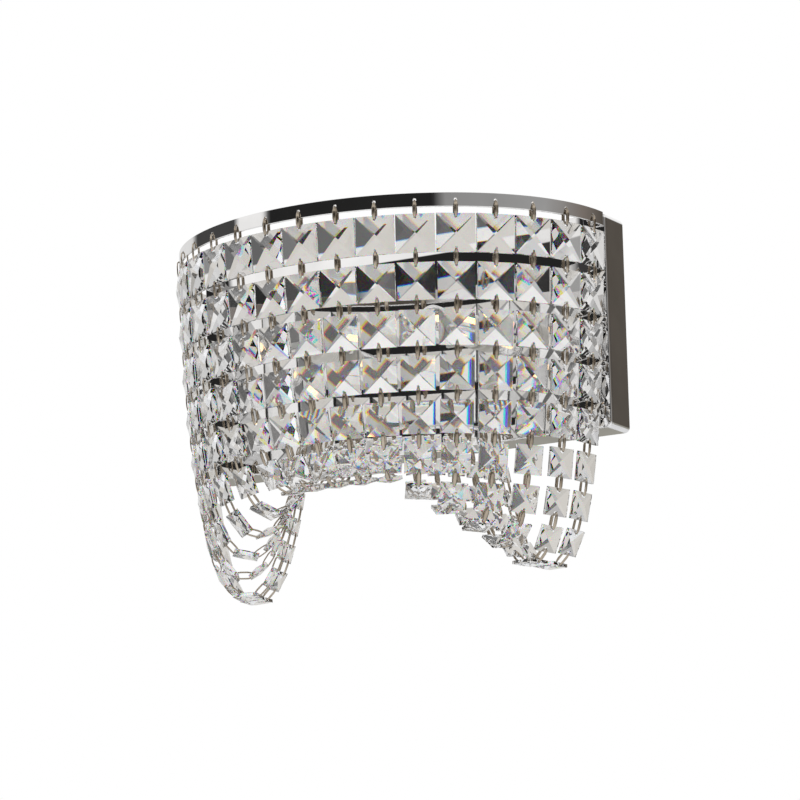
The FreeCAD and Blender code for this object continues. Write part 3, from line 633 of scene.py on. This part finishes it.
def hang(name, body, places, shapes, finish):
    """Hang shapes at places, (middle, across, out, up, pick, stretch) each, as one mesh."""
    mesh = bpy.data.meshes.new(name)
    mesh.from_pydata([place[0] for place in places], [], [])
    for label, kind in (("pick", "INT"), ("turn", "FLOAT_VECTOR"), ("stretch", "FLOAT_VECTOR")):
        mesh.attributes.new(label, kind, "POINT")
    for index, (middle, across, out, up, pick, stretch) in enumerate(places):
        turn = Matrix((across, out, up)).transposed().to_euler()
        mesh.attributes["pick"].data[index].value = pick
        mesh.attributes["turn"].data[index].vector = turn
        mesh.attributes["stretch"].data[index].vector = stretch
    points = mesh_object(name + "_points", mesh)
    modifier = points.modifiers.new("hang", "NODES")
    modifier.node_group = HANG
    sockets = {item.name: item.identifier for item in HANG.interface.items_tree
               if item.in_out == "INPUT"}
    modifier[sockets["Shapes"]] = shapes
    modifier[sockets["Finish"]] = finish
    made = shaped(points)
    made.name = name
    bpy.data.objects.remove(points)
    piece = mesh_object(name, made)
    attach(piece, body)
    return piece


def turned(profile, sides=24):
    """A body of revolution round Z through (radius, height) points, from its bottom up."""
    return loft([[(radius * math.cos(math.tau * step / sides),
                   radius * math.sin(math.tau * step / sides), height)
                  for step in range(sides)] for radius, height in profile])


def block(middle, size):
    """A square-edged form."""
    form = bmesh.new()
    bmesh.ops.create_cube(form, size=1,
                          matrix=Matrix.Translation(middle) @ Matrix.Diagonal((*size, 1)))
    return form


def pan_screw():
    """A pan-head screw: its head stands on Z = 0 and its threaded shank goes down from there."""
    pitch, core, crest, under_head = 0.0005, 0.00122, 0.00148, -0.0007
    shank = [(0.0009, -0.0052), (core, -0.0049)]
    while shank[-1][1] < under_head:
        height = shank[-1][1]
        shank += [(crest, height + pitch / 2), (core, height + pitch)]
    head = [(0.00145, 0), (0.0028, 0), (0.003, 0.0002), (0.003, 0.0008), (0.0027, 0.0013),
            (0.0019, 0.00162), (0.0009, 0.00176), (0.0002, 0.00178)]
    screw = finished(turned(shank + head), "screw", SCREW)
    drill(screw, mesh_of(block((0, 0, 0.0017), (0.0007, 0.008, 0.0012)), "slot"))
    smooth_but_sharp(screw.data, 35)
    mesh = screw.data
    bpy.data.objects.remove(screw)
    return mesh


SCREW = metal("screw_plate", (0.74, 0.72, 0.69), 0.15, 0.2, grain=200.0)
screw_store = store_of([pan_screw()])
for node, places, out in (("band_screws", BAND_SCREWS, Vector((0, -1, 0))),
                          ("saddle_screws", SADDLE_SCREWS, Vector((0, -1, 0))),
                          ("box_screws", BOX_SCREWS, None)):
    frames = []
    for index, (x, y, z) in enumerate(places):
        up = out or Vector((0, 0, 1 if z > 0 else -1))
        lean = math.radians(25 + 47 * index)    # each was stopped at another angle
        flat = up.orthogonal().normalized()
        across = flat * math.cos(lean) + up.cross(flat) * math.sin(lean)
        frames.append(((x, y, z), across, up.cross(across), up, 0, (1, 1, 1)))
    piece = hang(node + "_set", "fixture", frames, screw_store, SCREW)
    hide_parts(node)
empty_store(screw_store)
dress("rail_nuts", ZINC)


# Lampholders. Each is pressed and fired in white ceramic, with a grooved collar on its saddle
# and a slot in front that the lamp's pins plug into.

def moulding(name, colour, shade, roughness, fleck=220.0):
    """A pressed or moulded stuff: a faint cloud of shade and a slightly uneven skin."""
    material, n = new_material(name)
    where = n.add("ShaderNodeTexCoord").outputs["Object"]
    cloud = n.add("ShaderNodeTexNoise", {"Vector": where, "Scale": fleck, "Detail": 5.0})
    tone = n.ramp(cloud.outputs["Fac"], [(0.35, shade), (0.65, colour)])
    rough = n.math("MULTIPLY_ADD", cloud.outputs["Fac"], 0.2, roughness - 0.1)
    skin = n.add("ShaderNodeBump", {"Strength": 0.25, "Distance": 0.0001,
                                    "Height": cloud.outputs["Fac"]})
    surface = n.add("ShaderNodeBsdfPrincipled", {"Base Color": tone, "Roughness": rough,
                                                 "Normal": skin.outputs[0]})
    n.add("ShaderNodeOutputMaterial", {"Surface": surface.outputs[0]})
    return material


CERAMIC = moulding("white_ceramic", (0.85, 0.83, 0.78), (0.78, 0.76, 0.7), 0.55)
FIRST_GROOVE, GROOVE_PITCH = 0.0056, 0.0022


def facing_out(form, x, y, z):
    """Lay a turned form along the way out from the wall, its bottom at this place."""
    form.transform(Matrix(((1, 0, 0, x), (0, 0, -1, y), (0, 1, 0, z), (0, 0, 0, 1))))
    return form


for side in ("left", "right"):
    low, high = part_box("lampholder_" + side)
    middle_x, middle_z, length = (low.x + high.x) / 2, (low.z + high.z) / 2, high.y - low.y
    radius = (high.x - low.x) / 2
    profile = [(radius - 0.0006, 0), (radius, 0.0006), (radius, 0.0048), (radius - 0.0004, 0.0052)]
    for groove in range(3):
        start = FIRST_GROOVE + groove * GROOVE_PITCH
        profile += [(radius - 0.0011, start), (radius - 0.0011, start + 0.0008),
                    (radius - 0.0005, start + 0.0012), (radius - 0.0005, start + 0.0018)]
    profile += [(radius - 0.0009, 0.0126), (radius - 0.0009, length - 0.0012),
                (radius - 0.0013, length - 0.0004), (radius - 0.0022, length)]
    holder = finished(facing_out(turned(profile, 40), middle_x, high.y, middle_z),
                      "holder_" + side, CERAMIC)
    socket = block((middle_x, low.y, middle_z), (0.0104, 0.016, 0.0042))
    drill(holder, mesh_of(socket, "socket"))
    smooth_but_sharp(holder.data, 35)
    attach(holder, "fixture")
    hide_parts("lampholder_" + side)


# Capsule lamps. A clear blown capsule with a drawn tip and a flat pinched foot, a coil of fine
# wire held inside it on two stems; it plugs into the holder and pulls out forwards.

def lamp_glass():
    """Clear glass with a few faint smears."""
    material, n = new_material("capsule_glass")
    where = n.add("ShaderNodeTexCoord").outputs["Object"]
    smear = n.add("ShaderNodeTexNoise", {"Vector": where, "Scale": 120.0, "Detail": 3.0})
    rough = n.math("MULTIPLY", n.math("POWER", smear.outputs["Fac"], 4.0), 0.08)
    surface = n.add("ShaderNodeBsdfPrincipled", {
        "Base Color": (1, 1, 1, 1), "Transmission Weight": 1.0, "IOR": 1.45,
        "Roughness": rough})
    n.add("ShaderNodeOutputMaterial", {"Surface": surface.outputs[0]})
    return material


def glowing_coil():
    """Fine dark wire that glows weakly."""
    material, n = new_material("lamp_coil")
    where = n.add("ShaderNodeTexCoord").outputs["Object"]
    grain = n.add("ShaderNodeTexNoise", {"Vector": where, "Scale": 700.0})
    warm = n.ramp(grain.outputs["Fac"], [(0.3, (1.0, 0.55, 0.22)), (0.7, (1.0, 0.72, 0.42))])
    surface = n.add("ShaderNodeBsdfPrincipled", {
        "Base Color": (0.3, 0.28, 0.26, 1), "Metallic": 1.0, "Roughness": 0.4,
        "Emission Color": warm, "Emission Strength": 2.0})
    n.add("ShaderNodeOutputMaterial", {"Surface": surface.outputs[0]})
    return material


LAMP_GLASS, LAMP_COIL = lamp_glass(), glowing_coil()
COIL_STEPS, COIL_TURNS, COIL_RADIUS, COIL_WIRE, STEM_WIRE = 12, 14, 0.0015, 0.00028, 0.0002
for side in ("left", "right"):
    low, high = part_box("bulb_" + side)
    middle_x, middle_z = (low.x + high.x) / 2, (low.z + high.z) / 2
    radius = min(high.x - low.x, high.z - low.z) / 2
    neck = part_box("lampholder_" + side)[0].y - 0.0003
    length = neck - low.y
    outer = [(0.0016, 0), (0.0034, 0.0002), (radius - 0.0012, 0.0012), (radius - 0.0002, 0.003),
             (radius, 0.005), (radius, length - 0.0095), (radius * 0.97, length - 0.0073),
             (radius * 0.84, length - 0.0052), (radius * 0.6, length - 0.0036),
             (radius * 0.34, length - 0.0027), (radius * 0.2, length - 0.0018),
             (radius * 0.12, length - 0.0006), (radius * 0.03, length)]
    inner = [(0.0008, 0.0024), (radius - 0.0022, 0.003), (radius - 0.0011, 0.0048),
             (radius - 0.0009, 0.006), (radius - 0.0009, length - 0.0100),
             (radius * 0.82, length - 0.0078), (radius * 0.66, length - 0.0062),
             (radius * 0.4, length - 0.0048), (radius * 0.1, length - 0.0042)]
    form = turned(outer, 32)
    hollow = turned(inner, 32)
    bmesh.ops.reverse_faces(hollow, faces=hollow.faces)
    form.from_mesh(mesh_of(hollow, "hollow"))
    facing_out(form, middle_x, neck, middle_z)
    foot = block((middle_x, (high.y + neck) / 2 + 0.0001, middle_z),
                 (0.0098, high.y - neck, 0.0036))
    form.from_mesh(mesh_of(foot, "foot"))
    capsule = finished(form, "capsule_" + side, LAMP_GLASS, 30)
    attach(capsule, "lamp_" + side)
    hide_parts("bulb_" + side)
    coil_start, coil_end = neck - 0.0105, low.y + 0.0115
    wind = []
    for step in range(COIL_STEPS * COIL_TURNS + 1):
        share = step / (COIL_STEPS * COIL_TURNS)
        angle = math.tau * step / COIL_STEPS
        wind.append((middle_x + COIL_RADIUS * math.cos(angle),
                     coil_start + (coil_end - coil_start) * share,
                     middle_z + COIL_RADIUS * math.sin(angle)))
    form = tube(wind, COIL_WIRE, 5)
    for end, way in ((coil_start, 1), (coil_end, -1)):
        stem = tube([(middle_x - way * 0.0028, neck - 0.0022, middle_z),
                     (middle_x - way * 0.0028, end + 0.002, middle_z),
                     (middle_x - way * 0.0022, end, middle_z),
                     (middle_x + COIL_RADIUS, end, middle_z)], STEM_WIRE, 6)
        form.from_mesh(mesh_of(stem, "stem"))
    coil = finished(form, "coil_" + side, LAMP_COIL, 60)
    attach(coil, "lamp_" + side)


# Wiring. A moulded terminal block with brass clamping screws sits behind the front plate, an
# earth screw in the bracket beside the inlet, and a sleeved lead runs to each lampholder.

dress("terminal_block", moulding("terminal_moulding", (0.8, 0.78, 0.72), (0.74, 0.72, 0.66),
                                 0.4))
BRASS = metal("terminal_brass", (0.78, 0.6, 0.3), 0.2, 0.25, grain=200.0)
for node in ("terminal_screws", "earth_screw"):
    dress(node, BRASS)
SLEEVE = moulding("lead_sleeve", (0.8, 0.79, 0.76), (0.7, 0.69, 0.66), 0.6, fleck=500.0)
for side in ("left", "right"):
    dress("lead_" + side, SLEEVE)


# Crystals. Square stones of clear pressed glass, thin at the edge and drawn up on both sides to a
# low point where four facets meet, with a hole drilled near the top and the bottom edge. How each
# stone hangs is read from the CAD solids, which are the stones where they came to rest.

def crystal_glass(name, indices):
    """Clear glass that bends red, green and blue a little differently where light comes in."""
    material, n = new_material(name)
    where = n.add("ShaderNodeTexCoord").outputs["Object"]
    smear = n.add("ShaderNodeTexNoise", {"Vector": where, "Scale": 90.0, "Detail": 2.0})
    rough = n.math("MULTIPLY", n.math("POWER", smear.outputs["Fac"], 6.0), 0.05)
    parts = []
    for colour, index in zip(((1, 0, 0, 1), (0, 1, 0, 1), (0, 0, 1, 1)), indices):
        parts.append(n.add("ShaderNodeBsdfGlass", {"Color": colour, "IOR": index,
                                                   "Roughness": rough}).outputs[0])
    spread = n.add("ShaderNodeAddShader", {0: parts[0], 1: parts[1]}).outputs[0]
    spread = n.add("ShaderNodeAddShader", {0: spread, 1: parts[2]}).outputs[0]
    clear = n.add("ShaderNodeBsdfPrincipled", {
        "Base Color": (1, 1, 1, 1), "Transmission Weight": 1.0, "IOR": indices[1],
        "Roughness": rough})
    path = n.add("ShaderNodeLightPath").outputs
    outside = n.math("SUBTRACT", 1.0, n.add("ShaderNodeNewGeometry").outputs["Backfacing"])
    turned_away = n.add("ShaderNodeLayerWeight", {"Blend": 0.5}).outputs["Facing"]
    # in full where a facet looks at the eye, up to 0.16, and none where it turns away, from 0.26
    faced = n.math("MULTIPLY_ADD", turned_away, -10.0, 2.6, clamp=True)
    first = n.math("MULTIPLY", n.math("MULTIPLY", outside, path["Is Camera Ray"]), faced)
    both = n.add("ShaderNodeMixShader", {0: first, 1: clear.outputs[0], 2: spread})
    last_bounce = 7.5    # light that has gone on for longer goes straight through
    deep = n.math("GREATER_THAN", path["Ray Depth"], last_bounce)
    calm = n.add("ShaderNodeMixShader", {
        0: deep, 1: both.outputs[0], 2: n.add("ShaderNodeBsdfTransparent").outputs[0]})
    n.add("ShaderNodeOutputMaterial", {"Surface": calm.outputs[0]})
    return material


GLASS = crystal_glass("cut_crystal", (1.506, 1.52, 1.54))
HOLE_INSET, HOLE_RADIUS, HOLE_SIDES = 0.0022, 0.00075, 8
EDGE, CROWN = 0.0018, 0.12    # how thick the rim is, and how high each point, in widths


def closed_mesh(name, verts, faces):
    """A mesh of these faces, all turned to face outwards."""
    mesh = bpy.data.meshes.new(name)
    mesh.from_pydata(verts, [], faces)
    form = bmesh.new()
    form.from_mesh(mesh)
    bmesh.ops.recalc_face_normals(form, faces=form.faces)
    form.to_mesh(mesh)
    form.free()
    return mesh


def stone_mesh(name, width):
    """One pierced stone: X across, Y out towards the eye, Z up; its holes run along Y."""
    half, edge = width / 2, EDGE / 2
    crown = CROWN * width
    verts, faces = [], []

    def vert(x, y, z):
        verts.append((x, y, z))
        return len(verts) - 1

    corner = {(a, b, y): vert(a * half, y * edge, b * half)
              for a in (-1, 1) for b in (-1, 1) for y in (-1, 1)}
    middle = {(b, y): vert(0, y * edge, b * half) for b in (-1, 1) for y in (-1, 1)}
    point = {y: vert(0, y * (edge + crown), 0) for y in (-1, 1)}
    rings = {}
    for b in (-1, 1):
        for y in (-1, 1):
            ring = []
            for step in range(HOLE_SIDES):
                angle = math.tau * step / HOLE_SIDES
                x = HOLE_RADIUS * math.sin(angle)
                z = b * (half - HOLE_INSET) + HOLE_RADIUS * math.cos(angle)
                ring.append(vert(x, y * (edge + crown * (1 - abs(z) / half)), z))
            rings[b, y] = ring
    mid = HOLE_SIDES // 2
    for a in (-1, 1):
        for y in (-1, 1):
            upper, lower = (ring[:mid + 1] if a > 0 else [ring[0]] + ring[:mid - 1:-1]
                            for ring in (rings[1, y], rings[-1, y]))
            faces.append([point[y], corner[a, 1, y], middle[1, y]] + upper)
            faces.append([point[y]] + lower + [middle[-1, y], corner[a, -1, y]])
            faces.append([point[y], corner[a, -1, y], corner[a, 1, y]])
        faces.append([corner[a, -1, 1], corner[a, -1, -1], corner[a, 1, -1], corner[a, 1, 1]])
        for b in (-1, 1):
            faces.append([corner[a, b, 1], corner[a, b, -1], middle[b, -1], middle[b, 1]])
    for b in (-1, 1):
        outer, inner = rings[b, 1], rings[b, -1]
        for one in range(HOLE_SIDES):
            two = (one + 1) % HOLE_SIDES
            faces.append([outer[one], outer[two], inner[two], inner[one]])
    return closed_mesh(name, verts, faces)


def islands(node):
    """The points, and the faces' areas and normals, of each separate solid of a CAD node."""
    form = bmesh.new()
    form.from_mesh(frame["nodes"][node].data)
    bmesh.ops.remove_doubles(form, verts=form.verts, dist=1e-6)
    form.faces.index_update()
    form.verts.index_update()
    seen, found = set(), []
    for start in form.faces:
        if start.index in seen:
            continue
        seen.add(start.index)
        group = [start]
        for face in group:
            for line in face.edges:
                for other in line.link_faces:
                    if other.index not in seen:
                        seen.add(other.index)
                        group.append(other)
        points = {vert.index: tuple(vert.co) for face in group for vert in face.verts}
        found.append((np.array(list(points.values())),
                      [(face.calc_area(), face.normal.copy()) for face in group]))
    form.free()
    return found


def commonest_normal(normals, test=lambda normal: True):
    """The way that most of a solid's surface faces, among the ways that pass the test."""
    sums = {}
    for area, normal in normals:
        if test(normal):
            key = tuple(round(part, 2) for part in normal)
            area_sum, way = sums.get(key, (0.0, Vector((0, 0, 0))))
            sums[key] = (area_sum + area, way + normal * area)
    return max(sums.values(), key=lambda pair: pair[0])[1].normalized()


def nearness(points, place):
    """How far the nearest of the points is from a place."""
    return float(np.linalg.norm(points - np.array(place), axis=1).min())


def read_strand(number):
    """The stones of a strand from the band down, each as its middle, outward way, downward way
    and width, and the wire loops that the first and the last of them hang from."""
    stones = []
    for points, normals in islands("strand_%02d_crystals" % number):
        out = -commonest_normal(normals)
        side = commonest_normal(normals, lambda normal: abs(normal.dot(out)) < 0.05)
        spans = points @ np.array(out)
        flat_back = points[spans < spans.min() + 1e-5]
        middle = Vector(flat_back.mean(0)) + out * EDGE / 2
        width = float(np.ptp((points - np.array(middle)) @ np.array(side)))
        stones.append((middle, out, side, width))
    loops = [points for points, _ in islands("strand_%02d_loops" % number)]
    chain, hung = [], []
    loop = max(loops, key=lambda points: points[:, 2].mean())
    while True:
        hung.append(loop)
        loops = [other for other in loops if other is not loop]
        if not stones:
            return chain, hung[0], hung[-1]
        best = None
        for index, (middle, out, side, width) in enumerate(stones):
            other = out.cross(side)
            for up in (side, -side, other, -other):
                gap = nearness(loop, middle + up * (width / 2 - HOLE_INSET))
                if best is None or gap < best[0]:
                    best = gap, index, up
        middle, out, side, width = stones.pop(best[1])
        chain.append((middle, out, -best[2], width))
        exit_hole = middle - best[2] * (width / 2 - HOLE_INSET)
        loop = min(loops, key=lambda points: nearness(points, exit_hole))


STONE_STEP = 0.00025
strands = {number: read_strand(number) for number in STRANDS}
steps = sorted({round(stone[3] / STONE_STEP) for chain, _, _ in strands.values()
                for stone in chain})
stone_store = store_of([stone_mesh("stone_%03d" % step, step * STONE_STEP) for step in steps])
for number, (chain, _, _) in strands.items():
    body = "strand_%02d" % number
    stones = [(middle, out.cross(-down), out, -down, steps.index(round(width / STONE_STEP)),
               (1, 1, 1)) for middle, out, down, width in chain]
    piece = hang(body + "_stones", body, stones, stone_store, GLASS)
    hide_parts(body + "_crystals")
empty_store(stone_store)


# Wire links. Each is bent from a strip of plated wire, rolled flat, to a closed leaf: narrow where
# it passes through the holes and broad down its legs. One goes from the band to each strand's
# first stone, one from stone to stone, and one from the last stone to the rail.

WIRE = metal("loop_wire", (0.52, 0.45, 0.36), 0.16, 0.25, grain=300.0,
             tint=(0.36, 0.3, 0.23))


def loop_mesh(name, length, depth, sheet, narrow, broad, steps=16):
    """A closed link in the Y-Z plane, bent from strip: narrow where it passes through the
    holes, and broad as a leaf down its two legs."""
    radius = (depth - sheet) / 2
    straight = (length - sheet) / 2 - radius
    hurry = 2.6    # how soon round the bend the points are drawn out to the leaf's end
    rim = ((-1, 0), (-0.5, 0.5), (0.5, 0.5), (1, 0), (0.5, -0.5), (-0.5, -0.5))
    sides = len(rim)
    verts, faces = [], []
    for step in range(steps):
        angle = math.tau * (step + 0.5) / steps
        way = Vector((0, math.cos(angle), math.sin(angle)))
        lift = math.copysign(straight, way.z) * min(1, abs(way.z) * hurry)
        middle = way * radius + Vector((0, 0, lift))
        share = abs(middle.z) / (radius + straight)
        half = (narrow + (broad - narrow) * (1 - share ** 2)) / 2
        for across, out in rim:
            verts.append(middle + way * out * sheet + Vector((across * half, 0, 0)))
    for step in range(steps):
        for turn in range(sides):
            after, beside = (step + 1) % steps, (turn + 1) % sides
            faces.append([step * sides + turn, step * sides + beside,
                          after * sides + beside, after * sides + turn])
    mesh = closed_mesh(name, verts, faces)
    for face in mesh.polygons:
        face.use_smooth = True
    return mesh


def far_bar(points, from_place):
    """The middle of the loop's bar that lies farthest from a place."""
    middle = points.mean(0)
    way = middle - np.array(from_place)
    way /= np.linalg.norm(way)
    spans = (points - middle) @ way
    return Vector(middle + way * (spans.max() - LOOP_WIRE / 2))


LOOP_LENGTH, LOOP_DEPTH, LOOP_SHEET = 0.0106, 0.0044, 0.0007
LOOP_NARROW, LOOP_BROAD = 0.0009, 0.0027
loop_store = store_of([loop_mesh("loop", LOOP_LENGTH, LOOP_DEPTH, LOOP_SHEET, LOOP_NARROW,
                                 LOOP_BROAD)])
for number, (chain, top_loop, last_loop) in strands.items():
    ends = []
    for middle, out, down, width in chain:
        reach = down * (width / 2 - HOLE_INSET)
        ends.append((middle - reach, middle + reach, out))
    spans = [(far_bar(top_loop, ends[0][0]), ends[0][0], ends[0][2])]
    spans += [(one[1], two[0], (one[2] + two[2]).normalized()) for one, two in zip(ends, ends[1:])]
    spans.append((ends[-1][1], far_bar(last_loop, ends[-1][1]), ends[-1][2]))
    loops = []
    for top, bottom, out in spans:
        up = (top - bottom).normalized()
        out = (out - up * out.dot(up)).normalized()
        stretch = ((top - bottom).length + LOOP_SHEET) / LOOP_LENGTH
        loops.append(((top + bottom) / 2, out.cross(up), out, up, 0, (1, 1, stretch)))
    body = "strand_%02d" % number
    piece = hang(body + "_wires", body, loops, loop_store, WIRE)
    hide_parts(body + "_loops")
empty_store(loop_store)
